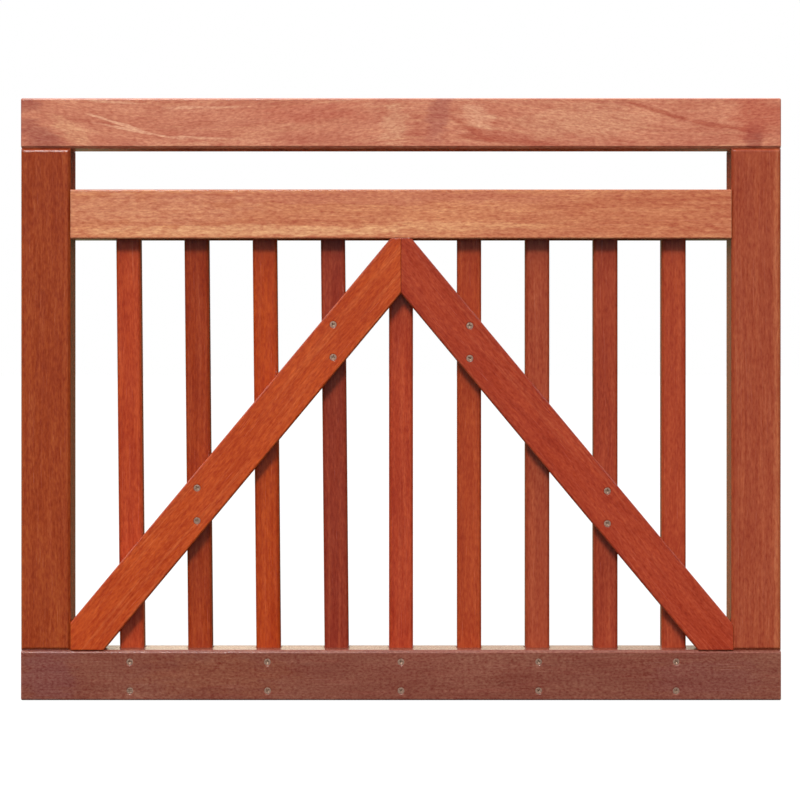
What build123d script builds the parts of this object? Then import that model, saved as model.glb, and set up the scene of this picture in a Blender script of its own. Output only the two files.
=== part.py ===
"""Garden gate leaf of oiled red hardwood: a framed gate with nine slats and two braces.

Frame of reference, in millimetres: X runs along the width from the hanging stile to the closing stile,
Y runs through the thickness with the front at -Y, and Z is up. The origin is the centre of the hanging
stile's outer side face, where a post or a wall plate would stand.
"""

from build123d import *

import math
import os

# Whole leaf
GATE_WIDTH = 1000.0
GATE_HEIGHT = 792.0
FRAME_THICKNESS = 45.0

# Frame members, measured on their front faces
STILE_FACE = 65.0
TOP_RAIL_FACE = 66.0
MIDDLE_RAIL_FACE = 65.0
BOTTOM_RAIL_FACE = 66.0
HAND_GAP = 54.0
JOINT_ARRIS = 3.0
RAIL_ARRIS = 1.5
END_ARRIS = 1.0

# Blind mortise and tenon joints of the frame
TENON_THICKNESS = 15.0
CORNER_TENON_WIDTH = 45.0
CORNER_TENON_LENGTH = 40.0
MIDDLE_TENON_WIDTH = 45.0
MIDDLE_TENON_LENGTH = 35.0
TENON_CHEEK_CLEARANCE = 0.2
TENON_END_CLEARANCE = 2.0

# Slats: their heads stand in pockets, their feet in housings cut in the back of the bottom rail
SLAT_COUNT = 9
SLAT_WIDTH = 32.0
SLAT_THICKNESS = 20.0
SLAT_ARRIS = 2.0
SLAT_END_GAP = 57.0
SLAT_HEAD_DEPTH = 25.0
SLAT_FOOT_RECESS = 2.0
SLAT_SIDE_CLEARANCE = 0.3
LEANING_SLATS = 4
SLAT_LEAN = 5.0

# Braces, flush with the front of the frame and lying on the slats
BRACE_WIDTH = 57.0
BRACE_THICKNESS = 22.0
BRACE_ARRIS = 1.5
BRACE_HEEL_RISE = 36.0
BRACE_HEAD_FLAT = 29.0
HEAD_LAP = 1.0
LEFT_HEEL_LAP = 0.0
RIGHT_HEEL_LAP = 2.5

# Countersunk screws
SCREW_HEAD_DIAMETER = 9.0
SCREW_HOLE_DIAMETER = 4.5
SCREW_SINK = 0.6
BRACE_SCREW_SPREAD = 43.0
RAIL_SCREW_SPREAD = 38.0
RAIL_SCREW_EDGE = 12.5

# Planes that the pieces share
FRONT = -FRAME_THICKNESS / 2
BACK = FRAME_THICKNESS / 2
SLAT_FRONT = FRONT + BRACE_THICKNESS
TOP = GATE_HEIGHT / 2
BOTTOM = -GATE_HEIGHT / 2
TOP_RAIL_UNDERSIDE = TOP - TOP_RAIL_FACE
MIDDLE_RAIL_TOP = TOP_RAIL_UNDERSIDE - HAND_GAP
MIDDLE_RAIL_UNDERSIDE = MIDDLE_RAIL_TOP - MIDDLE_RAIL_FACE
BOTTOM_RAIL_TOP = BOTTOM + BOTTOM_RAIL_FACE
LEFT_INNER = STILE_FACE
RIGHT_INNER = GATE_WIDTH - STILE_FACE
CENTRE = GATE_WIDTH / 2


def board(x_low, x_high, y_low, y_high, z_low, z_high):
    """A plain board between three pairs of planes."""
    size = (x_high - x_low, y_high - y_low, z_high - z_low)
    corner = Location((x_low, y_low, z_low))
    return corner * Box(*size, align=(Align.MIN, Align.MIN, Align.MIN))


def frame_member(x_low, x_high, z_low, z_high, eased_axes, arris):
    """A full-thickness frame member with its arrises eased on the edges along the given axes."""
    blank = board(x_low, x_high, FRONT, BACK, z_low, z_high)
    edges = [edge for axis in eased_axes for edge in blank.edges().filter_by(axis)]
    return chamfer(edges, arris)


def long_edges_from(rail, z):
    """A rail's edges along its length, from the nearest to height z to the farthest from it."""
    return rail.edges().filter_by(Axis.X).sort_by(lambda edge: abs(edge.center().Z - z))


def rail_over_stiles(z_low, z_high, joint_z):
    """A rail that runs the full width, eased most where its joint with the stiles makes a V groove."""
    rail = board(0, GATE_WIDTH, FRONT, BACK, z_low, z_high)
    rail = chamfer(long_edges_from(rail, joint_z)[:2], JOINT_ARRIS)
    rail = chamfer(long_edges_from(rail, joint_z)[-2:], RAIL_ARRIS)
    ends = rail.faces().sort_by(Axis.X)
    return chamfer([*ends[0].edges(), *ends[-1].edges()], END_ARRIS)


def corner_tenon(stile_left, shoulder, direction, fit=0.0, end_fit=0.0):
    """The tenon on a stile's end, or with its fits the mortise that takes it.

    direction is +1 for a tenon that points up from its shoulder and -1 for one that points down.
    """
    middle = stile_left + STILE_FACE / 2
    half_width = CORNER_TENON_WIDTH / 2 + fit
    half_thickness = TENON_THICKNESS / 2 + fit
    tip = shoulder + direction * (CORNER_TENON_LENGTH + end_fit)
    low, high = sorted((shoulder, tip))
    return board(middle - half_width, middle + half_width, -half_thickness, half_thickness, low, high)


def middle_tenon(shoulder, direction, fit=0.0, end_fit=0.0):
    """The tenon on the middle rail's end, or with its fits the mortise in the stile."""
    middle = (MIDDLE_RAIL_TOP + MIDDLE_RAIL_UNDERSIDE) / 2
    half_width = MIDDLE_TENON_WIDTH / 2 + fit
    half_thickness = TENON_THICKNESS / 2 + fit
    tip = shoulder + direction * (MIDDLE_TENON_LENGTH + end_fit)
    low, high = sorted((shoulder, tip))
    return board(low, high, -half_thickness, half_thickness, middle - half_width, middle + half_width)


def stile(stile_left, inner_face, outward):
    """A stile with a tenon at each end and a mortise for the middle rail in its inner side."""
    stile_right = stile_left + STILE_FACE
    axes = [Axis.X, Axis.Z]
    body = frame_member(stile_left, stile_right, BOTTOM_RAIL_TOP, TOP_RAIL_UNDERSIDE, axes, JOINT_ARRIS)
    body += corner_tenon(stile_left, TOP_RAIL_UNDERSIDE, 1)
    body += corner_tenon(stile_left, BOTTOM_RAIL_TOP, -1)
    return body - middle_tenon(inner_face, outward, TENON_CHEEK_CLEARANCE, TENON_END_CLEARANCE)


def slat_centre(index):
    """Where slat number index, counted from 0 at the hanging stile, meets the middle rail."""
    first = LEFT_INNER + SLAT_END_GAP + SLAT_WIDTH / 2
    last = RIGHT_INNER - SLAT_END_GAP - SLAT_WIDTH / 2
    return first + (last - first) * index / (SLAT_COUNT - 1)


def slat_lean(index):
    """The angle in degrees by which a slat's foot stands over towards the closing stile."""
    drift = SLAT_LEAN if index < LEANING_SLATS else 0.0
    return math.degrees(math.atan2(drift, MIDDLE_RAIL_UNDERSIDE - BOTTOM_RAIL_TOP))


def slat_x_at(index, z):
    """The X of a slat's centre line at height z."""
    return slat_centre(index) + (MIDDLE_RAIL_UNDERSIDE - z) * math.tan(math.radians(slat_lean(index)))


def slat_place(index):
    """The slat's own frame, with its origin where its centre line meets the middle rail."""
    return Location((slat_centre(index), 0, MIDDLE_RAIL_UNDERSIDE), (0, -slat_lean(index), 0))


def slat(index):
    """One slat, from its head in the middle rail to its foot in the bottom rail."""
    foot = BOTTOM + SLAT_FOOT_RECESS - MIDDLE_RAIL_UNDERSIDE
    half = SLAT_WIDTH / 2
    blank = board(-half, half, SLAT_FRONT, SLAT_FRONT + SLAT_THICKNESS, foot, SLAT_HEAD_DEPTH)
    return slat_place(index) * chamfer(blank.edges().filter_by(Axis.Z), SLAT_ARRIS)


def head_pocket(index):
    """The blind pocket in the middle rail's underside that takes a slat's head."""
    half = SLAT_WIDTH / 2 + SLAT_SIDE_CLEARANCE
    near = SLAT_FRONT - SLAT_SIDE_CLEARANCE
    far = SLAT_FRONT + SLAT_THICKNESS + SLAT_SIDE_CLEARANCE
    roof = SLAT_HEAD_DEPTH + SLAT_SIDE_CLEARANCE
    return slat_place(index) * board(-half, half, near, far, -MIDDLE_RAIL_FACE, roof)


def foot_housing(index):
    """The housing through the bottom rail's back in which a slat's foot is seated."""
    half = SLAT_WIDTH / 2 + SLAT_SIDE_CLEARANCE
    low = BOTTOM - MIDDLE_RAIL_UNDERSIDE - BOTTOM_RAIL_FACE
    high = BOTTOM_RAIL_TOP - MIDDLE_RAIL_UNDERSIDE + BOTTOM_RAIL_FACE
    return slat_place(index) * board(-half, half, SLAT_FRONT, BACK + SLAT_THICKNESS, low, high)


def screw_hole(x, z):
    """A countersunk hole from the front face through the wood that lies in front of the slats."""
    mouth = SCREW_HEAD_DIAMETER / 2
    bore = SCREW_HOLE_DIAMETER / 2
    seat = SCREW_SINK + mouth - bore
    outline = Polyline(
        (0, 0), (mouth, 0), (mouth, SCREW_SINK), (bore, seat), (bore, BRACE_THICKNESS), (0, BRACE_THICKNESS),
        close=True,
    )
    hole = revolve(make_face(outline), Axis.Y)
    return Location((x, FRONT, z)) * hole


def brace_ends():
    """The two points that the left brace's upper edge runs through, at its heel and at its head."""
    heel = Vector(LEFT_INNER, 0, BOTTOM_RAIL_TOP + BRACE_HEEL_RISE)
    head = Vector(CENTRE - BRACE_HEAD_FLAT / 2, 0, MIDDLE_RAIL_UNDERSIDE)
    return heel, head


def brace_line_at(x):
    """The height of the braces' centre lines at x, alike on both sides of the leaf."""
    heel, head = brace_ends()
    run = head - heel
    inset = min(x, GATE_WIDTH - x) - heel.X
    return heel.Z + inset * run.Z / run.X - BRACE_WIDTH / 2 * run.length / run.X


def brace_screws(index):
    """The two screw places where a slat passes behind a brace."""
    x = slat_centre(index)
    for _ in range(4):
        x = slat_x_at(index, brace_line_at(x))
    middle = brace_line_at(x)
    return [(x, middle + side * BRACE_SCREW_SPREAD / 2) for side in (-1, 1)]


def brace_blank():
    """The left brace before its ends are cut: an eased board laid along its slope."""
    heel, head = brace_ends()
    slope = math.degrees(math.atan2(head.Z - heel.Z, head.X - heel.X))
    overrun = BRACE_WIDTH * 2
    length = (head - heel).length + 2 * overrun
    blank = board(-overrun, length - overrun, FRONT, SLAT_FRONT, -BRACE_WIDTH, 0)
    eased = chamfer(blank.edges().filter_by(Axis.X), BRACE_ARRIS)
    return Location(heel, (0, -slope, 0)) * eased


def trimmed_brace(heel_lap, stile_piece, middle_rail_piece):
    """The left brace cut to its seats, with lips of the given lap scribed over the frame's arrises."""
    window = board(
        LEFT_INNER - heel_lap, CENTRE, FRONT, SLAT_FRONT, BOTTOM_RAIL_TOP, MIDDLE_RAIL_UNDERSIDE + HEAD_LAP
    )
    return (brace_blank() & window) - stile_piece - middle_rail_piece


def mirrored(piece):
    """The same piece on the other side of the leaf's centre line."""
    return mirror(piece, Plane.YZ.offset(CENTRE))


def bored(piece, places):
    """A piece with a screw hole at each place."""
    for x, z in places:
        piece -= screw_hole(x, z)
    return piece


def rail_screws(index):
    """The two screw places where the bottom rail holds a slat's foot."""
    heights = (BOTTOM + RAIL_SCREW_EDGE, BOTTOM + RAIL_SCREW_EDGE + RAIL_SCREW_SPREAD)
    return [(slat_x_at(index, z), z) for z in heights]


def gate_pieces():
    """Every piece of the leaf, by name."""
    pieces = {}
    indices = range(SLAT_COUNT)
    stiles = {"left_stile": (0, LEFT_INNER, -1), "right_stile": (RIGHT_INNER, RIGHT_INNER, 1)}

    top_rail = rail_over_stiles(TOP_RAIL_UNDERSIDE, TOP, TOP_RAIL_UNDERSIDE)
    bottom_rail = rail_over_stiles(BOTTOM, BOTTOM_RAIL_TOP, BOTTOM_RAIL_TOP)
    middle_heights = (MIDDLE_RAIL_UNDERSIDE, MIDDLE_RAIL_TOP)
    middle_rail = frame_member(LEFT_INNER, RIGHT_INNER, *middle_heights, [Axis.X], RAIL_ARRIS)
    fits = (TENON_CHEEK_CLEARANCE, TENON_END_CLEARANCE)
    for name, (stile_left, inner_face, outward) in stiles.items():
        pieces[name] = stile(stile_left, inner_face, outward)
        top_rail -= corner_tenon(stile_left, TOP_RAIL_UNDERSIDE, 1, *fits)
        bottom_rail -= corner_tenon(stile_left, BOTTOM_RAIL_TOP, -1, *fits)
        middle_rail += middle_tenon(inner_face, outward)

    for index in indices:
        pieces[f"slat_{index + 1}"] = slat(index)
        middle_rail -= head_pocket(index)
        bottom_rail -= foot_housing(index)

    left = trimmed_brace(LEFT_HEEL_LAP, pieces["left_stile"], middle_rail)
    right = mirrored(trimmed_brace(RIGHT_HEEL_LAP, pieces["left_stile"], middle_rail))
    braced = [index for index in indices if index % 2 == 1]
    for index in braced:
        if slat_centre(index) < CENTRE:
            left = bored(left, brace_screws(index))
        else:
            right = bored(right, brace_screws(index))
    for index in indices:
        if index not in braced:
            bottom_rail = bored(bottom_rail, rail_screws(index))

    pieces.update(top_rail=top_rail, middle_rail=middle_rail, bottom_rail=bottom_rail)
    pieces.update(left_brace=left, right_brace=right)
    return pieces


os.makedirs("parts", exist_ok=True)
for name, piece in gate_pieces().items():
    solid = piece.solids()[0]
    solid.label = name
    export_step(solid, f"parts/{name}.step")
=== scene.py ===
"""Dresses the garden gate leaf: each board in its own oiled red hardwood, and the screws that hold them.

Lengths are in metres in the leaf's own frame, with X from the hanging stile to the closing stile, the front
at -Y and Z up. Patterns in the wood are worked out in millimetres, in the frame of the board that has them.
"""

import logging
import math
from collections.abc import Callable, Sequence
from dataclasses import dataclass, field
from enum import Enum

import bmesh
import bpy
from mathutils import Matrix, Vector


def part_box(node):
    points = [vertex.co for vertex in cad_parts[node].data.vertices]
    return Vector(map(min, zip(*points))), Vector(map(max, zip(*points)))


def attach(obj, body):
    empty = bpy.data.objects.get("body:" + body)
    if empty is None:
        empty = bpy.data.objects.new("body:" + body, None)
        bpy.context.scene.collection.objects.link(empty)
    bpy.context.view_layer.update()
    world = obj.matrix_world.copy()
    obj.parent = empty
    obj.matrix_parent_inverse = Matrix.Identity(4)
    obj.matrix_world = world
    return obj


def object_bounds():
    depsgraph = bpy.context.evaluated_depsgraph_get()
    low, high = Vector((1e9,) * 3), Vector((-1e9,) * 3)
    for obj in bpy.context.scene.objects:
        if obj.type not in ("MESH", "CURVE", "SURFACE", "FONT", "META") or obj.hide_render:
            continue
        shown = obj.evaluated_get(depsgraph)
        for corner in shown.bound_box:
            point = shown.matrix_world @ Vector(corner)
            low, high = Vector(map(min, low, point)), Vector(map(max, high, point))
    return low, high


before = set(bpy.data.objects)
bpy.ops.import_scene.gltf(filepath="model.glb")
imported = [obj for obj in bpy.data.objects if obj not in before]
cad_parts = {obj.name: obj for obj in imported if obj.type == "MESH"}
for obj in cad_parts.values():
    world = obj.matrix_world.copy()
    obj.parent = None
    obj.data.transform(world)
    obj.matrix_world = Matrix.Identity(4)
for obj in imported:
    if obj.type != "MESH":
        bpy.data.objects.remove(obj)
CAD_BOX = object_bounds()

MM = 0.001
BODY = "root"
LOG = logging.getLogger("gate")

Colour = tuple[float, float, float, float]
# A mark's length along the grain and its width across it, in mm
Size = tuple[float, float]
# Where something starts and where it ends
Span = tuple[float, float]
# A colour ramp's stops, each a position, an sRGB hex tone and the gain on it
Stops = tuple[tuple[float, str, float], ...]
Socket = bpy.types.NodeSocket
Tree = bpy.types.NodeTree


def linear(hex_code: str, gain: float = 1.0) -> Colour:
    """Turns an sRGB hex colour into linear light.

    Args:
        hex_code: six hexadecimal digits after a hash sign.
        gain: what the linear colour is multiplied by, to lighten or darken it.

    Returns:
        Linear red, green, blue and an alpha of one.
    """
    channels = [int(hex_code[i : i + 2], 16) / 255 for i in (1, 3, 5)]
    lit = [c / 12.92 if c <= 0.04045 else ((c + 0.055) / 1.055) ** 2.4 for c in channels]
    return (lit[0] * gain, lit[1] * gain, lit[2] * gain, 1.0)


def add_node(
    tree: Tree,
    kind: str,
    inputs: dict[str | int, object] | None = None,
    stops: Stops = (),
    **settings: object,
) -> bpy.types.Node:
    """Adds a node, sets it and links it.

    Args:
        tree: the node tree that takes the node.
        kind: the node's type, as Blender names it.
        inputs: by socket name or number, a value to set or an output socket to link.
        stops: a colour ramp's stops.
        settings: the node's own settings.

    Returns:
        The new node.
    """
    node = tree.nodes.new(kind)
    for name, value in settings.items():
        setattr(node, name, value)
    for key, value in (inputs or {}).items():
        socket = node.inputs[key]
        if isinstance(value, Socket):
            tree.links.new(value, socket)
        else:
            socket.default_value = value
    if stops:
        elements = node.color_ramp.elements
        while len(elements) < len(stops):
            elements.new(1.0)
        for element, (position, tone, gain) in zip(elements, stops):
            element.position = position
            element.color = linear(tone, gain)
    return node


class Cut(Enum):
    """How a board was sawn from its log, as the pith's place through and across the board, in mm."""

    FLAT = (60.0, -40.0)
    RIFT = (60.0, -70.0)
    QUARTER = (15.0, -120.0)


class Draw(Enum):
    """A pattern in a board, as the shift that keeps its noise apart from the board's other patterns."""

    WANDER = 0
    FIBRES = 11
    FLECKS = 23
    PORES = 37
    BANDS = 51
    BLOTCHES = 67
    FRAY = 79
    STREAKS = 83


@dataclass(frozen=True)
class Patch:
    """A stretch of the board where the wood is another tone, placed in mm from the board's centre.

    strength is how much of the tone shows in its middle. turn_deg turns its length about Y, so a positive one
    falls along the board.
    """

    along: float
    across: float
    length: float
    height: float
    tone: str
    strength: float
    turn_deg: float = 0.0


@dataclass(frozen=True, kw_only=True)
class Figure:
    """The figure of one board: how it was cut, how its grain runs and how strongly it is marked.

    bands, blotches, fibres and flecks are strengths: how much the red channel gains from a pattern's darkest
    to its lightest. The grain sways as one long wave and wanders at random on top of it. sway_turn is the
    share of a turn that the wave is through at the board's centre.
    """

    cut: Cut
    band_mm: float
    bands: float = 0.3
    blotches: float = 0.5
    blotch_mm: Size
    fibres: float
    flecks: float
    fleck_mm: Size
    sway_mm: float
    sway_length_mm: float
    sway_turn: float
    wander_mm: float
    streak_tone: str
    streak_share: float
    streak_mm: Size = (260.0, 5.0)
    patches: tuple[Patch, ...] = ()


@dataclass(frozen=True, kw_only=True)
class Board:
    """One board of the leaf: the CAD node it dresses, the way its grain points and its own wood.

    turn_deg turns the X axis about Y onto the grain: 0 lies along the rails, and 90 points straight down.
    ease_mm is how far from an arris its sanding rounds the faces' shading, and the arris gain scales the
    colour over the arris: above one it paints a highlight there, below one it paints shade.
    """

    node: str
    turn_deg: float
    tone: str
    seed: float
    ease_mm: float
    # Scales the colour over the arrises: a painted highlight above one, painted shade below one
    arris_light_gain: float
    figure: Figure


@dataclass(frozen=True)
class OiledHardwood:
    """Dense red tropical hardwood of the balau kind, planed, eased along its arrises and wiped with oil.

    The planed face shows growth bands, mottled blotches, broken streaks and flecks, fine fibres, and the open
    pores of a diffuse-porous wood as short dashes along the grain. The oil leaves a satin gloss, duller on
    the pale fibres, and it darkens the pores and the sawn ends, which drink more of it.
    """

    # Real rays and pores are 0.2 to 0.3 mm wide; they are drawn coarser, because finer ones don't show
    fibre_mm: Size = (60.0, 1.3)
    pore_mm: Size = (7.0, 0.7)
    # Shares of a draw's seed that shift its noise along, through and across the board
    seed_shares: tuple[float, float, float] = (1.0, 1.7, 2.3)
    # How much each finer layer of a pattern counts beside the layer before it
    finer_share: float = 0.6
    # A growth band keeps its tone for about this length
    ring_length_mm: float = 420.0
    # The bends of the wandering grain, and the ragged fibres at the edge of a patch
    bend_mm: Size = (230.0, 80.0)
    fray_mm: Size = (34.0, 9.0)
    # The noise levels between which a pore or a streak comes up to its full share
    pore_levels: Span = (0.60, 0.74)
    streak_levels: Span = (0.52, 0.68)
    pore_share: float = 0.25
    pore_gain: float = 0.25
    # How strongly the fray moves a patch's edge, and the sums of fray and reach between which the patch
    # fades, where the reach is in half lengths and half heights of the patch
    fray_reach: float = 2.0
    fray_levels: Span = (1.45, 2.15)
    # Pale wood is less red than deep wood, so green and blue vary this many times as much as red
    yellowing: float = 2.1
    relief_mm: float = 0.035
    ior: float = 1.5
    specular: float = 0.5
    roughness: Span = (0.16, 0.28)
    roughness_levels: Span = (0.3, 0.7)
    # The agreement of the eased normal with the flat one at which an arris takes all its painted highlight or
    # painted shade
    full_arris_agreement: float = 0.9
    ease_samples: int = 6
    # How square to the grain a face starts to be end grain, and is all end grain
    end_grain_levels: Span = (0.75, 0.97)
    end_grain_gain: float = 0.55

    def material(self, board: Board) -> bpy.types.Material:
        """Makes the wood of one board.

        Args:
            board: the board that takes it.

        Returns:
            The board's own material.
        """
        material = bpy.data.materials.new(f"{board.node}_oiled_hardwood")
        material.use_nodes = True
        tree = material.node_tree
        tree.nodes.clear()
        place = self._board_space(tree, board)
        grain = self._grain_space(tree, board, place)
        fibres = self._marks(tree, grain, board, Draw.FIBRES, self.fibre_mm, detail=3.0)
        pores = self._pores(tree, board, grain)
        colour = self._growth_bands(tree, board, grain)
        colour = self._streaks(tree, board, grain, colour)
        colour = self._patched(tree, board, place, colour)
        colour = self._fibred(tree, board, grain, colour, fibres, pores)
        rounded, arris_share = self._eased_arris(tree, board)
        colour = self._finished(tree, board, colour, arris_share)
        relief = self._relief(tree, fibres, pores, rounded)
        rough = add_node(
            tree, "ShaderNodeMapRange",
            {"Value": fibres, "From Min": self.roughness_levels[0], "From Max": self.roughness_levels[1],
             "To Min": self.roughness[0], "To Max": self.roughness[1]},
        ).outputs["Result"]
        shader = add_node(
            tree, "ShaderNodeBsdfPrincipled",
            {"Base Color": colour, "Roughness": rough, "Normal": relief, "IOR": self.ior,
             "Specular IOR Level": self.specular},
        )
        add_node(tree, "ShaderNodeOutputMaterial", {"Surface": shader.outputs["BSDF"]})
        return material

    def _board_space(self, tree: Tree, board: Board) -> Socket:
        """Gives each point's place in the board's own frame: mm along, through and across the board."""
        low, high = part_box(board.node)
        return add_node(
            tree, "ShaderNodeMapping",
            {"Vector": add_node(tree, "ShaderNodeTexCoord").outputs["Object"],
             "Location": (low + high) / 2, "Rotation": (0.0, math.radians(board.turn_deg), 0.0),
             "Scale": (MM, MM, MM)},
            vector_type="TEXTURE",
        ).outputs["Vector"]

    def _grain_space(self, tree: Tree, board: Board, place: Socket) -> Socket:
        """Bends the board's frame so that its first axis follows the grain.

        Args:
            tree: the material's nodes.
            board: the board.
            place: the place in the board's frame.

        Returns:
            The place along, through and across the grain, in mm.
        """
        figure = board.figure
        wander = add_node(
            tree, "ShaderNodeTexNoise",
            {"Vector": self._scaled(tree, place, board, Draw.WANDER, self.bend_mm), "Scale": 1.0,
             "Detail": 1.5},
        ).outputs["Color"]
        bent = add_node(
            tree, "ShaderNodeVectorMath",
            {0: wander, 1: (0.0, 2 * figure.wander_mm, 2 * figure.wander_mm), 2: place},
            operation="MULTIPLY_ADD",
        ).outputs["Vector"]
        parts = add_node(tree, "ShaderNodeSeparateXYZ", {0: bent})
        turn = add_node(
            tree, "ShaderNodeMath",
            {0: parts.outputs["X"], 1: math.tau / figure.sway_length_mm, 2: figure.sway_turn * math.tau},
            operation="MULTIPLY_ADD",
        ).outputs[0]
        swing = add_node(tree, "ShaderNodeMath", {0: turn}, operation="SINE").outputs[0]
        swayed = add_node(
            tree, "ShaderNodeMath", {0: swing, 1: figure.sway_mm, 2: parts.outputs["Z"]},
            operation="MULTIPLY_ADD",
        ).outputs[0]
        return add_node(
            tree, "ShaderNodeCombineXYZ", {0: parts.outputs["X"], 1: parts.outputs["Y"], 2: swayed}
        ).outputs[0]

    def _scaled(self, tree: Tree, place: Socket, board: Board, draw: Draw, size_mm: Size) -> Socket:
        """Scales a place so that one unit is a mark's length along and width across, shifted for its draw."""
        length, width = size_mm
        shift = tuple((board.seed + draw.value) * share for share in self.seed_shares)
        return add_node(
            tree, "ShaderNodeVectorMath", {0: place, 1: (1 / length, 1 / width, 1 / width), 2: shift},
            operation="MULTIPLY_ADD",
        ).outputs["Vector"]

    def _marks(
        self, tree: Tree, place: Socket, board: Board, draw: Draw, size_mm: Size, detail: float
    ) -> Socket:
        """Draws soft marks of a real size in the wood.

        Args:
            tree: the material's nodes.
            place: the place along, through and across the board or its grain, in mm.
            board: the board.
            draw: which of its patterns the marks are.
            size_mm: their length and width.
            detail: how many finer layers of the pattern lie on the first.

        Returns:
            The pattern, which is about a half on average.
        """
        return add_node(
            tree, "ShaderNodeTexNoise",
            {"Vector": self._scaled(tree, place, board, draw, size_mm), "Scale": 1.0, "Detail": detail,
             "Roughness": self.finer_share},
        ).outputs["Fac"]

    def _pores(self, tree: Tree, board: Board, grain: Socket) -> Socket:
        """The share of dark pore at each point: short dashes along the grain."""
        marks = self._marks(tree, grain, board, Draw.PORES, self.pore_mm, detail=1.0)
        return add_node(
            tree, "ShaderNodeMapRange",
            {"Value": marks, "From Min": self.pore_levels[0], "From Max": self.pore_levels[1],
             "To Min": 0.0, "To Max": self.pore_share},
        ).outputs["Result"]

    def _varied(self, tree: Tree, colour: Socket | Colour, pattern: Socket, strength: float) -> Socket:
        """Varies the colour with a pattern, from deep to pale wood, which is less red as well as lighter.

        Args:
            tree: the material's nodes.
            colour: the colour to vary.
            pattern: the pattern, which is about a half on average.
            strength: how much the red channel gains from the pattern's darkest to its lightest.

        Returns:
            The varied colour.
        """
        spread = Vector((strength, strength * self.yellowing, strength * self.yellowing))
        gain = add_node(
            tree, "ShaderNodeVectorMath", {0: pattern, 1: spread, 2: Vector((1, 1, 1)) - spread / 2},
            operation="MULTIPLY_ADD",
        ).outputs["Vector"]
        base = colour if isinstance(colour, Socket) else colour[:3]
        return add_node(
            tree, "ShaderNodeVectorMath", {0: base, 1: gain}, operation="MULTIPLY"
        ).outputs["Vector"]

    def _growth_bands(self, tree: Tree, board: Board, grain: Socket) -> Socket:
        """The growth bands, as rings about the log's pith, and slower blotches of tone over them."""
        figure = board.figure
        through, across = figure.cut.value
        out = add_node(
            tree, "ShaderNodeVectorMath", {0: grain, 1: (0.0, through, across)}, operation="SUBTRACT"
        ).outputs["Vector"]
        flat = add_node(
            tree, "ShaderNodeVectorMath", {0: out, 1: (0.0, 1.0, 1.0)}, operation="MULTIPLY"
        ).outputs["Vector"]
        radius = add_node(tree, "ShaderNodeVectorMath", {0: flat}, operation="LENGTH").outputs["Value"]
        along = add_node(tree, "ShaderNodeSeparateXYZ", {0: grain}).outputs["X"]
        ring_place = add_node(tree, "ShaderNodeCombineXYZ", {0: along, 2: radius}).outputs[0]
        ring_mm = (self.ring_length_mm, figure.band_mm)
        bands = self._marks(tree, ring_place, board, Draw.BANDS, ring_mm, detail=2.5)
        blotches = self._marks(tree, grain, board, Draw.BLOTCHES, figure.blotch_mm, detail=3.0)
        colour = self._varied(tree, linear(board.tone), bands, figure.bands)
        return self._varied(tree, colour, blotches, figure.blotches)

    def _streaks(self, tree: Tree, board: Board, grain: Socket, colour: Socket) -> Socket:
        """Lays long broken streaks of another tone along the grain."""
        figure = board.figure
        marks = self._marks(tree, grain, board, Draw.STREAKS, figure.streak_mm, detail=3.0)
        amount = add_node(
            tree, "ShaderNodeMapRange",
            {"Value": marks, "From Min": self.streak_levels[0], "From Max": self.streak_levels[1],
             "To Min": 0.0, "To Max": figure.streak_share},
        ).outputs["Result"]
        return add_node(
            tree, "ShaderNodeMix", {"Factor": amount, "A": colour, "B": linear(figure.streak_tone)},
            data_type="RGBA",
        ).outputs["Result"]

    def _patched(self, tree: Tree, board: Board, place: Socket, colour: Socket) -> Socket:
        """Lays each patch of another tone over the colour, as a long oval with a frayed edge."""
        if not board.figure.patches:
            return colour
        endless = 1.0 / MM
        fray = self._marks(tree, place, board, Draw.FRAY, self.fray_mm, detail=4.0)
        for patch in board.figure.patches:
            share = add_node(
                tree, "ShaderNodeMapping",
                {"Vector": place, "Location": (patch.along, 0.0, patch.across),
                 "Rotation": (0.0, math.radians(patch.turn_deg), 0.0),
                 "Scale": (patch.length / 2, endless, patch.height / 2)},
                vector_type="TEXTURE",
            ).outputs["Vector"]
            reach = add_node(tree, "ShaderNodeVectorMath", {0: share}, operation="LENGTH").outputs["Value"]
            frayed = add_node(
                tree, "ShaderNodeMath", {0: fray, 1: self.fray_reach, 2: reach}, operation="MULTIPLY_ADD"
            ).outputs[0]
            amount = add_node(
                tree, "ShaderNodeMapRange",
                {"Value": frayed, "From Min": self.fray_levels[0], "From Max": self.fray_levels[1],
                 "To Min": patch.strength, "To Max": 0.0},
                interpolation_type="SMOOTHSTEP",
            ).outputs["Result"]
            colour = add_node(
                tree, "ShaderNodeMix", {"Factor": amount, "A": colour, "B": linear(patch.tone)},
                data_type="RGBA",
            ).outputs["Result"]
        return colour

    def _fibred(
        self, tree: Tree, board: Board, grain: Socket, colour: Socket, fibres: Socket, pores: Socket
    ) -> Socket:
        """Varies the colour along the fibres and in small flecks, and darkens the pores."""
        figure = board.figure
        flecks = self._marks(tree, grain, board, Draw.FLECKS, figure.fleck_mm, detail=2.0)
        colour = self._varied(tree, colour, fibres, figure.fibres)
        colour = self._varied(tree, colour, flecks, figure.flecks)
        return add_node(
            tree, "ShaderNodeMix", {"Factor": pores, "A": colour, "B": linear(board.tone, self.pore_gain)},
            data_type="RGBA",
        ).outputs["Result"]

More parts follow.
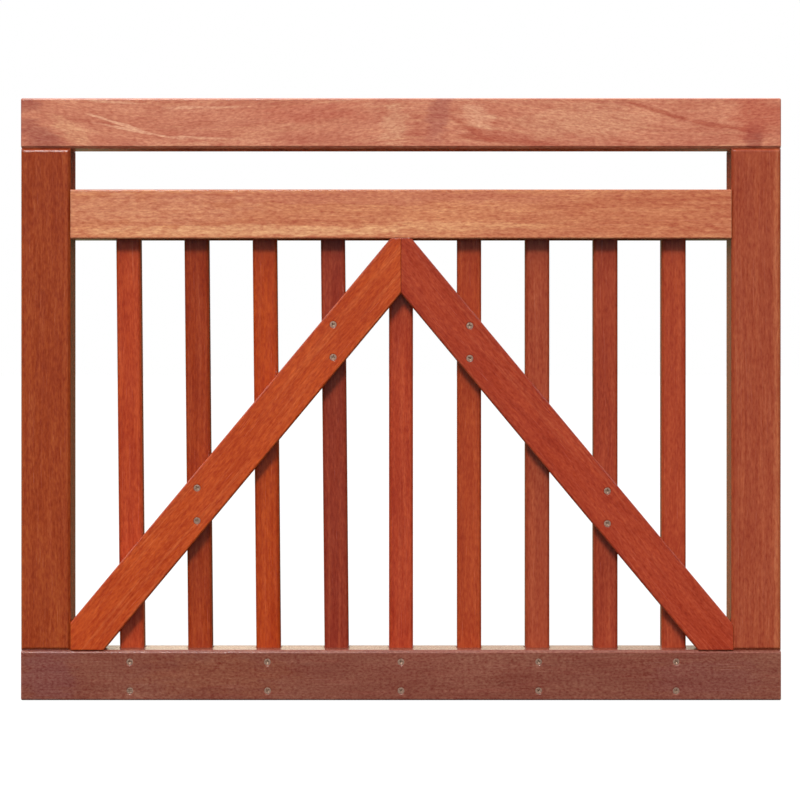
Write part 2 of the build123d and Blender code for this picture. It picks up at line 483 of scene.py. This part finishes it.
    def _eased_arris(self, tree: Tree, board: Board) -> tuple[Socket, Socket]:
        """Rounds the shading over the chamfered arrises, as sanding leaves them.

        Args:
            tree: the material's nodes.
            board: the board.

        Returns:
            The rounded normal, and the wear, which grows as that normal leans away from the flat face.
        """
        rounded = add_node(
            tree, "ShaderNodeBevel", {"Radius": board.ease_mm * MM}, samples=self.ease_samples
        ).outputs["Normal"]
        flat = add_node(tree, "ShaderNodeNewGeometry").outputs["True Normal"]
        agreement = add_node(
            tree, "ShaderNodeVectorMath", {0: rounded, 1: flat}, operation="DOT_PRODUCT"
        ).outputs["Value"]
        arris_share = add_node(
            tree, "ShaderNodeMapRange",
            {"Value": agreement, "From Min": 1.0, "From Max": self.full_arris_agreement},
        ).outputs["Result"]
        return rounded, arris_share

    def _finished(self, tree: Tree, board: Board, colour: Socket, arris_share: Socket) -> Socket:
        """Paints a highlight or shade over the arrises with the board's arris gain, and darkens sawn ends,
        which drink more oil.
        """
        # Painted highlight where the arris gain is above one, painted shade where it is below one
        arris_paint = add_node(
            tree, "ShaderNodeMapRange", {"Value": arris_share, "To Min": 1.0, "To Max": board.arris_light_gain}
        ).outputs["Result"]
        turn = math.radians(board.turn_deg)
        facing = add_node(
            tree, "ShaderNodeVectorMath",
            {0: add_node(tree, "ShaderNodeNewGeometry").outputs["True Normal"],
             1: (math.cos(turn), 0.0, -math.sin(turn))},
            operation="DOT_PRODUCT",
        ).outputs["Value"]
        square = add_node(tree, "ShaderNodeMath", {0: facing}, operation="ABSOLUTE").outputs[0]
        oiled = add_node(
            tree, "ShaderNodeMapRange",
            {"Value": square, "From Min": self.end_grain_levels[0], "From Max": self.end_grain_levels[1],
             "To Min": 1.0, "To Max": self.end_grain_gain},
        ).outputs["Result"]
        gain = add_node(tree, "ShaderNodeMath", {0: arris_paint, 1: oiled}, operation="MULTIPLY").outputs[0]
        return add_node(
            tree, "ShaderNodeVectorMath", {0: colour, "Scale": gain}, operation="SCALE"
        ).outputs["Vector"]

    def _relief(self, tree: Tree, fibres: Socket, pores: Socket, rounded: Socket) -> Socket:
        """The raised fibres and sunk pores of a planed face that has stood outdoors."""
        height = add_node(
            tree, "ShaderNodeMath", {0: pores, 1: -1.0, 2: fibres}, operation="MULTIPLY_ADD"
        ).outputs[0]
        return add_node(
            tree, "ShaderNodeBump",
            {"Height": height, "Strength": 1.0, "Distance": self.relief_mm * MM, "Normal": rounded},
        ).outputs["Normal"]


@dataclass(frozen=True)
class DullStainless:
    """Stainless steel screws, cold-formed and dulled outdoors: pale, warm and soft in what they reflect."""

    face_tone: str = "#AC8A77"
    recess_tone: str = "#A58A74"
    # How far behind the wood's front the face's tone turns into the recess's
    recess_mm: Span = (0.9, 2.2)
    # Scuffs are about a millimetre long, because finer ones don't show
    scuffs_per_mm: float = 0.9
    # The film that weather leaves keeps it from reflecting as bare metal does
    metallic: float = 0.7
    roughness: Span = (0.35, 0.65)

    def material(self, front: float) -> bpy.types.Material:
        """Makes the steel.

        Args:
            front: the Y of the wood's front face, from which the recess's depth is measured.

        Returns:
            The screws' material.
        """
        material = bpy.data.materials.new("dull_stainless")
        material.use_nodes = True
        tree = material.node_tree
        tree.nodes.clear()
        place = add_node(tree, "ShaderNodeTexCoord").outputs["Object"]
        depth = add_node(tree, "ShaderNodeSeparateXYZ", {0: place}).outputs["Y"]
        shallow, deep = self.recess_mm
        # The colour turns from the face's tone to the recess's slightly darker tone deeper behind the wood's
        # front
        recess_blend = add_node(
            tree, "ShaderNodeMapRange",
            {"Value": depth, "From Min": front + shallow * MM, "From Max": front + deep * MM},
        ).outputs["Result"]
        colour = add_node(
            tree, "ShaderNodeMix",
            {"Factor": recess_blend, "A": linear(self.face_tone), "B": linear(self.recess_tone)}, data_type="RGBA",
        ).outputs["Result"]
        scuffs = add_node(
            tree, "ShaderNodeTexNoise", {"Vector": place, "Scale": self.scuffs_per_mm / MM, "Detail": 3.0}
        ).outputs["Fac"]
        rough = add_node(
            tree, "ShaderNodeMapRange",
            {"Value": scuffs, "To Min": self.roughness[0], "To Max": self.roughness[1]},
        ).outputs["Result"]
        shader = add_node(
            tree, "ShaderNodeBsdfPrincipled",
            {"Base Color": colour, "Roughness": rough, "Metallic": self.metallic},
        )
        add_node(tree, "ShaderNodeOutputMaterial", {"Surface": shader.outputs["BSDF"]})
        return material


def dress(boards: Sequence[Board], finish: OiledHardwood) -> list[bpy.types.Object]:
    """Gives each board its own wood.

    Args:
        boards: the boards to dress.
        finish: the finish that they share.

    Returns:
        The dressed pieces.
    """
    pieces = []
    for board in boards:
        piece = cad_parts[board.node]
        piece.data.materials.clear()
        piece.data.materials.append(finish.material(board))
        pieces.append(piece)
    return pieces


@dataclass
class OuterFrame:
    """The two stiles and the three rails, joined by blind tenons with V grooves at the shoulders."""

    finish: OiledHardwood

    def build(self) -> list[bpy.types.Object]:
        """Gives the frame its wood: two pale upper rails, a dark bottom rail and red stiles.

        Returns:
            The five pieces.
        """
        rails = [self._top_rail(), self._middle_rail(), self._bottom_rail()]
        stiles = [self._left_stile(), self._right_stile()]
        return dress(rails + stiles, self.finish)

    def _top_rail(self) -> Board:
        """The top rail: the palest board, with a wavy figure about a knot."""
        figure = Figure(
            cut=Cut.RIFT, band_mm=9.0, blotches=0.65, blotch_mm=(60.0, 17.0),
            fibres=0.22, flecks=0.75, fleck_mm=(6.0, 2.2),
            sway_mm=14.0, sway_length_mm=690.0, sway_turn=0.695, wander_mm=6.0,
            streak_tone="#DDA77C", streak_share=0.2, streak_mm=(160.0, 6.0),
            patches=self._top_rail_patches(),
        )
        return Board(
            node="top_rail", turn_deg=0, tone="#BE7358", seed=3.1, ease_mm=1.2, arris_light_gain=0.42,
            figure=figure,
        )

    def _middle_rail(self) -> Board:
        """The middle rail: pale too, and straighter in the grain."""
        figure = Figure(
            cut=Cut.QUARTER, band_mm=6.0, bands=0.4, blotches=0.6, blotch_mm=(90.0, 12.0),
            fibres=0.25, flecks=0.85, fleck_mm=(7.0, 2.3),
            sway_mm=1.5, sway_length_mm=700.0, sway_turn=0.1, wander_mm=2.5,
            streak_tone="#DA9A68", streak_share=0.3, streak_mm=(180.0, 6.0),
            patches=self._middle_rail_patches(),
        )
        return Board(
            node="middle_rail", turn_deg=0, tone="#BF734F", seed=8.4, ease_mm=1.2, arris_light_gain=0.45,
            figure=figure,
        )

    def _bottom_rail(self) -> Board:
        """The bottom rail: the darkest board, with short flecks."""
        figure = Figure(
            cut=Cut.RIFT, band_mm=9.0, blotch_mm=(90.0, 28.0),
            fibres=0.3, flecks=1.1, fleck_mm=(4.0, 2.4),
            sway_mm=2.0, sway_length_mm=600.0, sway_turn=0.4, wander_mm=3.0,
            streak_tone="#9A5648", streak_share=0.2, streak_mm=(120.0, 6.0),
            patches=self._bottom_rail_patches(),
        )
        # The arris gain above one paints a highlight along this rail's arrises
        return Board(
            node="bottom_rail", turn_deg=0, tone="#7B4435", seed=14.2, ease_mm=3.0, arris_light_gain=1.4,
            figure=figure,
        )

    def _left_stile(self) -> Board:
        """The left stile: deep red and straight in the grain."""
        figure = Figure(
            cut=Cut.RIFT, band_mm=7.0, bands=0.4, blotch_mm=(90.0, 16.0),
            fibres=0.3, flecks=0.9, fleck_mm=(8.0, 2.3),
            sway_mm=2.0, sway_length_mm=480.0, sway_turn=0.2, wander_mm=2.5,
            streak_tone="#A84E28", streak_share=0.3,
        )
        return Board(
            node="left_stile", turn_deg=90, tone="#903916", seed=21.7, ease_mm=3.0, arris_light_gain=0.85,
            figure=figure,
        )

    def _right_stile(self) -> Board:
        """The right stile: a little paler, with a light strip along one edge."""
        figure = Figure(
            cut=Cut.QUARTER, band_mm=6.0, blotches=0.4, blotch_mm=(110.0, 16.0),
            fibres=0.3, flecks=0.75, fleck_mm=(8.0, 2.3),
            sway_mm=1.5, sway_length_mm=520.0, sway_turn=0.6, wander_mm=2.0,
            streak_tone="#B05A36", streak_share=0.3,
            patches=(Patch(0, 27, 1400, 10, "#B4643E", 0.45),),
        )
        return Board(
            node="right_stile", turn_deg=90, tone="#984227", seed=27.9, ease_mm=3.0, arris_light_gain=0.85,
            figure=figure,
        )

    def _top_rail_patches(self) -> tuple[Patch, ...]:
        """The top rail's knot at its left end, its golden swirls and the brown band past its middle."""
        brown, gold, rust = "#9C5444", "#DDA482", "#A44A34"
        return (
            Patch(-472, -20, 84, 36, brown, 0.7, 36), Patch(-490, 25, 36, 26, brown, 0.6),
            Patch(-432, -12, 76, 28, "#D0946E", 0.45, 38), Patch(-372, 0, 100, 4, gold, 0.7, 17),
            Patch(-338, -12, 130, 4, gold, 0.7, 11), Patch(-270, -19, 110, 4, gold, 0.5, 2),
            Patch(-378, 28, 84, 4, gold, 0.5, 3), Patch(-256, 21, 140, 4, gold, 0.5, -1),
            Patch(-120, 14, 170, 30, "#B8614A", 0.5), Patch(-8, -2, 40, 66, "#D49C78", 0.45),
            Patch(50, 12, 34, 78, "#A65C4C", 0.7, 12), Patch(92, -8, 74, 11, rust, 0.55, 32),
            Patch(146, -23, 150, 10, rust, 0.6, 6), Patch(98, 12, 56, 30, "#D8A07E", 0.45, 30),
            Patch(240, 2, 220, 52, "#D29874", 0.4), Patch(342, 15, 120, 8, rust, 0.6, 17),
            Patch(420, -3, 110, 7, rust, 0.6, 9), Patch(466, -17, 28, 36, "#8C4036", 0.65),
            Patch(474, 10, 84, 70, "#B0523C", 0.55),
        )

    def _middle_rail_patches(self) -> tuple[Patch, ...]:
        """The middle rail's golden lower edge, its pinker upper part and its redder right end."""
        return (
            Patch(-190, -22, 460, 18, "#E0A878", 0.55), Patch(60, -16, 280, 14, "#DCA070", 0.45),
            Patch(-60, 22, 700, 22, "#BB6D55", 0.4), Patch(340, 2, 260, 80, "#B25E3E", 0.5),
            Patch(-330, 6, 320, 50, "#C98463", 0.45),
        )

    def _bottom_rail_patches(self) -> tuple[Patch, ...]:
        """The bottom rail's purplish ends and the warmer wood between them."""
        return (
            Patch(-465, 0, 90, 90, "#764340", 0.5), Patch(-240, 0, 220, 60, "#84482F", 0.4),
            Patch(60, 10, 260, 50, "#84493A", 0.3), Patch(400, -6, 170, 70, "#763F3A", 0.35),
        )


@dataclass
class SlatRow:
    """The nine upright slats behind the braces, the first four of which lean a little."""

    finish: OiledHardwood
    lean_deg: float = 0.53
    leaning: int = 4
    cuts: tuple[Cut, ...] = (Cut.RIFT, Cut.QUARTER, Cut.FLAT)
    tones: tuple[str, ...] = (
        "#AA3D1A", "#90310F", "#A4390C", "#872F1B", "#A3381B", "#A03C19", "#983F24", "#94371E", "#9E3B1E",
    )
    # The first slat's seed, and what each next slat adds to that seed and to its grain's sway
    first_seed: float = 33.0
    seed_step: float = 5.3
    sway_step: float = 0.13

    def build(self) -> list[bpy.types.Object]:
        """Gives each slat wood of its own tone and cut.

        Returns:
            The nine pieces.
        """
        return dress([self._slat(index, tone) for index, tone in enumerate(self.tones)], self.finish)

    def _slat(self, index: int, tone: str) -> Board:
        """The slat at an index that counts from zero at the left."""
        figure = Figure(
            cut=self.cuts[index % len(self.cuts)], band_mm=5.0, blotch_mm=(80.0, 12.0),
            fibres=0.28, flecks=0.75, fleck_mm=(8.0, 2.2),
            sway_mm=1.5, sway_length_mm=420.0, sway_turn=self.sway_step * index, wander_mm=2.0,
            streak_tone="#BE5A32", streak_share=0.2,
        )
        lean = self.lean_deg if index < self.leaning else 0.0
        return Board(
            node=f"slat_{index + 1}", turn_deg=90 - lean, tone=tone,
            seed=self.first_seed + self.seed_step * index, ease_mm=4.5, arris_light_gain=0.72, figure=figure,
        )


@dataclass
class BracePair:
    """The two braces that rise from the bottom corners and meet under the middle rail."""

    finish: OiledHardwood
    slope_deg: float = 50.2

    def build(self) -> list[bpy.types.Object]:
        """Gives each brace wood whose grain runs along its slope.

        Returns:
            The two pieces.
        """
        return dress([self._left_brace(), self._right_brace()], self.finish)

    def _left_brace(self) -> Board:
        """The left brace, which rises to the right: the most orange board."""
        figure = Figure(
            cut=Cut.RIFT, band_mm=8.0, blotch_mm=(80.0, 15.0),
            fibres=0.25, flecks=0.85, fleck_mm=(8.0, 2.3),
            sway_mm=3.0, sway_length_mm=520.0, sway_turn=0.3, wander_mm=4.0,
            streak_tone="#CC6C38", streak_share=0.3,
        )
        return Board(
            node="left_brace", turn_deg=-self.slope_deg, tone="#AE4114", seed=91.3, ease_mm=2.0,
            arris_light_gain=0.6, figure=figure,
        )

    def _right_brace(self) -> Board:
        """The right brace, which rises to the left."""
        figure = Figure(
            cut=Cut.QUARTER, band_mm=7.0, blotch_mm=(80.0, 14.0),
            fibres=0.25, flecks=0.85, fleck_mm=(7.0, 2.2),
            sway_mm=3.0, sway_length_mm=460.0, sway_turn=0.7, wander_mm=4.0,
            streak_tone="#BA5A38", streak_share=0.25,
        )
        return Board(
            node="right_brace", turn_deg=self.slope_deg, tone="#9D361B", seed=97.6, ease_mm=2.0,
            arris_light_gain=0.6, figure=figure,
        )


@dataclass
class ScrewSet:
    """The countersunk cross-recess screws, seated in the holes of the bottom rail and the braces.

    sink is how far the face lies behind the wood's front, and dome how far its middle stands up again.
    """

    finish: DullStainless = field(default_factory=DullStainless)
    head_diameter: float = 9.0 * MM
    neck_diameter: float = 4.3 * MM
    shank_diameter: float = 4.0 * MM
    length: float = 38.0 * MM
    tip_length: float = 4.0 * MM
    tip_share: float = 0.2
    sink: float = 0.45 * MM
    rim: float = 0.25 * MM
    edge_depth: float = 0.08 * MM
    edge_width: float = 0.12 * MM
    dome: float = 0.05 * MM
    dome_share: float = 0.8
    arm_length: float = 2.6 * MM
    arm_width: float = 1.3 * MM
    # The recess's lip, mouth, waist and floor, by depth and by the share of the cross that each is
    lip_share: float = 1.12
    mouth_depth: float = 0.10 * MM
    waist_depth_share: float = 0.55
    waist_share: float = 0.82
    recess_depth: float = 1.8 * MM
    floor_share: float = 0.6
    segments: int = 48
    sharp_deg: float = 32.0
    # How much further than the last one each recess is turned, in radians
    turn_step: float = 2.4
    # The slats, counted from the left, that are screwed to the bottom rail and to each brace
    rail_slats: tuple[int, ...] = (1, 3, 5, 7, 9)
    left_slats: tuple[int, ...] = (2, 4)
    right_slats: tuple[int, ...] = (6, 8)
    # Up from the bottom rail's lower edge to the first screw, and from a pair's lower screw to its upper one
    rail_edge: float = 12.5 * MM
    rail_spread: float = 38.0 * MM
    brace_spread: float = 43.0 * MM
    # The sizes of the boards that the screws hold
    slat_width: float = 32.0 * MM
    brace_width: float = 57.0 * MM
    brace_heel_rise: float = 36.0 * MM
    brace_head_flat: float = 29.0 * MM

    def build(self) -> list[bpy.types.Object]:
        """Makes one joined mesh of screws for each board that they go through.

        Returns:
            The three pieces.
        """
        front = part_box("bottom_rail")[0].y
        steel = self.finish.material(front)
        pieces = []
        for name, places in self.places().items():
            mesh = bpy.data.meshes.new(name)
            bm = bmesh.new()
            for index, (x, z) in enumerate(places):
                turn = self.turn_step * index + len(name)
                self._add_screw(bm, Vector((x, front + self.sink, z)), turn)
            bmesh.ops.recalc_face_normals(bm, faces=bm.faces)
            bm.to_mesh(mesh)
            bm.free()
            piece = bpy.data.objects.new(name, mesh)
            bpy.context.scene.collection.objects.link(piece)
            mesh.materials.append(steel)
            mesh.shade_smooth()
            mesh.set_sharp_from_angle(angle=math.radians(self.sharp_deg))
            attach(piece, BODY)
            pieces.append(piece)
        return pieces

    def places(self) -> dict[str, list[tuple[float, float]]]:
        """Works out where the screws are, from the slats that they hold.

        Returns:
            By piece name, the X and Z of each screw.
        """
        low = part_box("bottom_rail")[0].z + self.rail_edge
        heights = (low, low + self.rail_spread)
        rail = [(self._slat_x(index, z), z) for index in self.rail_slats for z in heights]
        left = [place for index in self.left_slats for place in self._brace_places(index)]
        right = [place for index in self.right_slats for place in self._brace_places(index)]
        return {"bottom_rail_screws": rail, "left_brace_screws": left, "right_brace_screws": right}

    def _slat_x(self, index: int, z: float) -> float:
        """The X of a slat's centre line at height z, read from the slat's own box."""
        low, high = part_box(f"slat_{index}")
        drift = (high.x - low.x) - self.slat_width
        share = (high.z - z) / (high.z - low.z)
        return low.x + self.slat_width / 2 + drift * share

    def _brace_places(self, index: int) -> list[tuple[float, float]]:
        """The two screw places where a slat passes behind a brace.

        Args:
            index: the slat's number, counted from one at the left.

        Returns:
            The X and Z of the lower screw and of the upper one.
        """
        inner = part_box("left_stile")[1].x
        heel_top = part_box("bottom_rail")[1].z + self.brace_heel_rise
        rail_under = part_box("middle_rail")[0].z
        low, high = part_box("top_rail")
        centre = (low.x + high.x) / 2
        rise = rail_under - heel_top
        run = centre - self.brace_head_flat / 2 - inner
        x = self._slat_x(index, 0.0)
        z = 0.0
        # A leaning slat's place depends on the height, so the crossing is settled in a few rounds
        for _ in range(4):
            inset = centre - abs(x - centre) - inner
            z = heel_top + inset * rise / run - self.brace_width / 2 * math.hypot(rise, run) / run
            x = self._slat_x(index, z)
        return [(x, z - self.brace_spread / 2), (x, z + self.brace_spread / 2)]

    def _cross(self, angle: float) -> float:
        """The recess's outline, a cross, as a radius at an angle."""
        folded = abs((angle + math.pi / 4) % (math.pi / 2) - math.pi / 4)
        half = self.arm_width / 2
        if math.tan(folded) < half / self.arm_length:
            return self.arm_length / math.cos(folded)
        return half / math.sin(folded)

    def _rings(self) -> list[tuple[float, Callable[[float], float]]]:
        """The screw's rings, from tip to recess floor: how deep each lies, and its radius by angle."""
        head = self.head_diameter / 2
        neck = self.neck_diameter / 2
        shank = self.shank_diameter / 2
        return [
            (self.length, lambda a: self.tip_share * shank),
            (self.length - self.tip_length, lambda a: shank),
            (self.rim + (head - neck), lambda a: neck),
            (self.rim, lambda a: head),
            (self.edge_depth, lambda a: head),
            (0.0, lambda a: head - self.edge_width),
            (-self.dome, lambda a: head * self.dome_share),
            (-self.dome, lambda a: self._cross(a) * self.lip_share),
            (self.mouth_depth, self._cross),
            (self.recess_depth * self.waist_depth_share, lambda a: self._cross(a) * self.waist_share),
            (self.recess_depth, lambda a: min(self._cross(a) * self.floor_share, self.arm_width / 2)),
        ]

    def _add_screw(self, bm: bmesh.types.BMesh, seat: Vector, turn: float) -> None:
        """Adds one screw whose head's face is centred on the seat.

        Args:
            bm: the mesh that takes it.
            seat: the centre of the head's face.
            turn: the angle at which the driver left its recess.
        """
        loops = []
        for depth, radius in self._rings():
            loop = []
            for step in range(self.segments):
                angle = math.tau * step / self.segments
                reach = radius(angle)
                x = reach * math.cos(angle + turn)
                z = reach * math.sin(angle + turn)
                loop.append(bm.verts.new(seat + Vector((x, depth, z))))
            loops.append(loop)
        for outer, inner in zip(loops, loops[1:]):
            for step in range(self.segments):
                after = (step + 1) % self.segments
                bm.faces.new((outer[step], outer[after], inner[after], inner[step]))
        bm.faces.new(loops[0])
        bm.faces.new(loops[-1])


@dataclass
class Studio:
    """A white product studio: a soft key light high on the left, a bright ceiling and a pale floor.

    The ramps of the sky go by the way a ray points. In before, behind and beside, a position is a share of
    the way from straight down to straight up, and in aside and walls from straight left to straight right.
    """

    eye: Vector = field(default_factory=lambda: Vector((0.500, -2.6225, 0.067)))
    focal_px: float = 1976.8
    frame_px: float = 800.0
    sensor_mm: float = 36.0
    centre_px: tuple[float, float] = (401.0, 348.3)
    key_from: Vector = field(default_factory=lambda: Vector((-0.186, -1.0, 0.765)))
    key_spread_deg: float = 13.0
    key_strength: float = 2.2
    fill_from: Vector = field(default_factory=lambda: Vector((0.1, -1.0, 0.0)))
    fill_spread_deg: float = 44.0
    fill_strength: float = 0.66
    rim_place: Vector = field(default_factory=lambda: Vector((0.5, 3.2, 1.6)))
    rim_aim: Vector = field(default_factory=lambda: Vector((0.5, 0.0, -0.3)))
    rim_size: tuple[float, float] = (4.5, 1.6)
    rim_power: float = 30.0
    sky_strength: float = 1.1
    before: Stops = (
        (0.50, "#FFFFFF", 0.03), (0.60, "#FFFFFF", 0.08), (0.72, "#FFFFFF", 0.70), (1.00, "#FFFFFF", 1.6),
    )
    behind: Stops = (
        (0.564, "#000000", 1.0), (0.571, "#FFF1CC", 2.4), (0.70, "#FFFFFF", 1.2), (1.00, "#FFFFFF", 1.6),
    )
    beside: Stops = (
        (0.52, "#FFF9BF", 0.22), (0.54, "#FFF9BF", 0.02), (0.61, "#FFFFFF", 0.03), (0.70, "#FFFFFF", 1.2),
        (1.00, "#FFFFFF", 1.6),
    )
    # White where beside takes the place of behind
    aside: Stops = (
        (0.416, "#FFFFFF", 1.0), (0.438, "#000000", 1.0), (0.562, "#000000", 1.0), (0.584, "#FFFFFF", 1.0),
    )
    walls: Stops = (
        (0.0, "#FFFFFF", 2.2), (0.42, "#FFFFFF", 1.25), (0.5, "#FFFFFF", 0.8), (0.58, "#FFFFFF", 0.7),
        (1.0, "#FFFFFF", 1.5),
    )
    # The shares of the way from the leaf's front to its back between which before turns into behind
    turn_back: Span = (0.4, 0.6)
    floor_size: float = 60.0
    floor_drop: float = 0.5 * MM
    floor_tone: str = "#505050"
    floor_glow: float = 0.92

    def build(self) -> None:
        """Sets up the camera, the lights, the sky and the floor."""
        self._camera()
        self._far_light("key_light", self.key_from, self.key_spread_deg, self.key_strength)
        fill = self._far_light("fill_light", self.fill_from, self.fill_spread_deg, self.fill_strength)
        fill.visible_glossy = False
        self._rim_light()
        self._sky()
        self._floor()
        bpy.context.scene.view_settings.view_transform = "Standard"

    def _camera(self) -> None:
        """Looks square at the front, from a little above the leaf's middle."""
        data = bpy.data.cameras.new("camera")
        data.sensor_width = self.sensor_mm
        data.lens = self.focal_px * self.sensor_mm / self.frame_px
        half = self.frame_px / 2
        data.shift_x = (half - self.centre_px[0]) / self.frame_px
        data.shift_y = (self.centre_px[1] - half) / self.frame_px
        camera = bpy.data.objects.new("camera", data)
        camera.location = self.eye
        camera.rotation_euler = (math.radians(90), 0.0, 0.0)
        bpy.context.scene.collection.objects.link(camera)
        bpy.context.scene.camera = camera

    def _far_light(
        self, name: str, come_from: Vector, spread_deg: float, strength: float
    ) -> bpy.types.Object:
        """Hangs a light so far off that it falls evenly, and wide enough for soft shadow edges.

        Args:
            name: the light's name.
            come_from: the direction from the leaf to the light.
            spread_deg: the angle that the light spans as the leaf sees it.
            strength: the light that a face square to it gets.

        Returns:
            The light.
        """
        data = bpy.data.lights.new(name, "SUN")
        data.energy = strength
        data.angle = math.radians(spread_deg)
        lamp = bpy.data.objects.new(name, data)
        lamp.rotation_euler = (-come_from).to_track_quat("-Z", "Y").to_euler()
        bpy.context.scene.collection.objects.link(lamp)
        return lamp

    def _rim_light(self) -> None:
        """Sets a softbox behind and above the leaf, out of the picture, which whitens what faces up."""
        data = bpy.data.lights.new("rim_light", "AREA")
        data.shape = "RECTANGLE"
        data.size, data.size_y = self.rim_size
        data.energy = self.rim_power
        lamp = bpy.data.objects.new("rim_light", data)
        lamp.location = self.rim_place
        lamp.rotation_euler = (self.rim_aim - self.rim_place).to_track_quat("-Z", "Y").to_euler()
        lamp.visible_camera = False
        bpy.context.scene.collection.objects.link(lamp)

    def _sky(self) -> None:
        """Lights the leaf from a bright ceiling and dim walls, in front of a white background."""
        world = bpy.data.worlds.new("studio")
        bpy.context.scene.world = world
        world.use_nodes = True
        tree = world.node_tree
        tree.nodes.clear()
        ray = add_node(tree, "ShaderNodeTexCoord").outputs["Generated"]
        half = (0.5, 0.5, 0.5)
        halved = add_node(
            tree, "ShaderNodeVectorMath", {0: ray, 1: half, 2: half}, operation="MULTIPLY_ADD"
        ).outputs["Vector"]
        share = add_node(tree, "ShaderNodeSeparateXYZ", {0: halved})
        sideways, back, up = share.outputs["X"], share.outputs["Y"], share.outputs["Z"]
        before, behind, beside = (
            add_node(tree, "ShaderNodeValToRGB", {"Fac": up}, ramp).outputs["Color"]
            for ramp in (self.before, self.behind, self.beside)
        )
        aside, walls = (
            add_node(tree, "ShaderNodeValToRGB", {"Fac": sideways}, ramp).outputs["Color"]
            for ramp in (self.aside, self.walls)
        )
        rear = add_node(
            tree, "ShaderNodeMix", {"Factor": aside, "A": behind, "B": beside}, data_type="RGBA"
        ).outputs["Result"]
        side = add_node(
            tree, "ShaderNodeMapRange",
            {"Value": back, "From Min": self.turn_back[0], "From Max": self.turn_back[1]},
        ).outputs["Result"]
        around = add_node(
            tree, "ShaderNodeMix", {"Factor": side, "A": before, "B": rear}, data_type="RGBA"
        ).outputs["Result"]
        room = add_node(
            tree, "ShaderNodeVectorMath", {0: around, 1: walls}, operation="MULTIPLY"
        ).outputs["Vector"]
        light = add_node(tree, "ShaderNodeBackground", {"Color": room, "Strength": self.sky_strength})
        white = add_node(tree, "ShaderNodeBackground", {"Color": linear("#FFFFFF"), "Strength": 1.0})
        seen = add_node(tree, "ShaderNodeLightPath").outputs["Is Camera Ray"]
        mix = add_node(tree, "ShaderNodeMixShader", {0: seen, 1: light.outputs[0], 2: white.outputs[0]})
        add_node(tree, "ShaderNodeOutputWorld", {"Surface": mix.outputs[0]})

    def _floor(self) -> None:
        """Lays a pale floor under the leaf, lit from within like a light table to keep it near white."""
        mesh = bpy.data.meshes.new("floor")
        bm = bmesh.new()
        bmesh.ops.create_grid(bm, x_segments=1, y_segments=1, size=self.floor_size / 2)
        bm.to_mesh(mesh)
        bm.free()
        floor = bpy.data.objects.new("floor", mesh)
        middle = (CAD_BOX[0] + CAD_BOX[1]) / 2
        floor.location = (middle.x, middle.y, CAD_BOX[0].z - self.floor_drop)
        material = bpy.data.materials.new("light_table")
        material.use_nodes = True
        tree = material.node_tree
        tree.nodes.clear()
        shader = add_node(
            tree, "ShaderNodeBsdfPrincipled",
            {"Base Color": linear(self.floor_tone), "Roughness": 1.0, "Specular IOR Level": 0.0,
             "Emission Color": linear("#FFFFFF"), "Emission Strength": self.floor_glow},
        )
        add_node(tree, "ShaderNodeOutputMaterial", {"Surface": shader.outputs["BSDF"]})
        mesh.materials.append(material)
        floor.visible_diffuse = False
        floor.visible_glossy = False
        bpy.context.scene.collection.objects.link(floor)


def main() -> None:
    """Builds the studio, dresses the boards, seats the screws and reports each piece."""
    logging.basicConfig(level=logging.INFO, format="%(message)s")
    finish = OiledHardwood()
    Studio().build()
    for part in (OuterFrame(finish), SlatRow(finish), BracePair(finish), ScrewSet()):
        for piece in part.build():
            LOG.info("%s, %s: %s", type(part).__name__, piece.name, piece.data.materials[0].name)


if __name__ == "__main__":
    main()
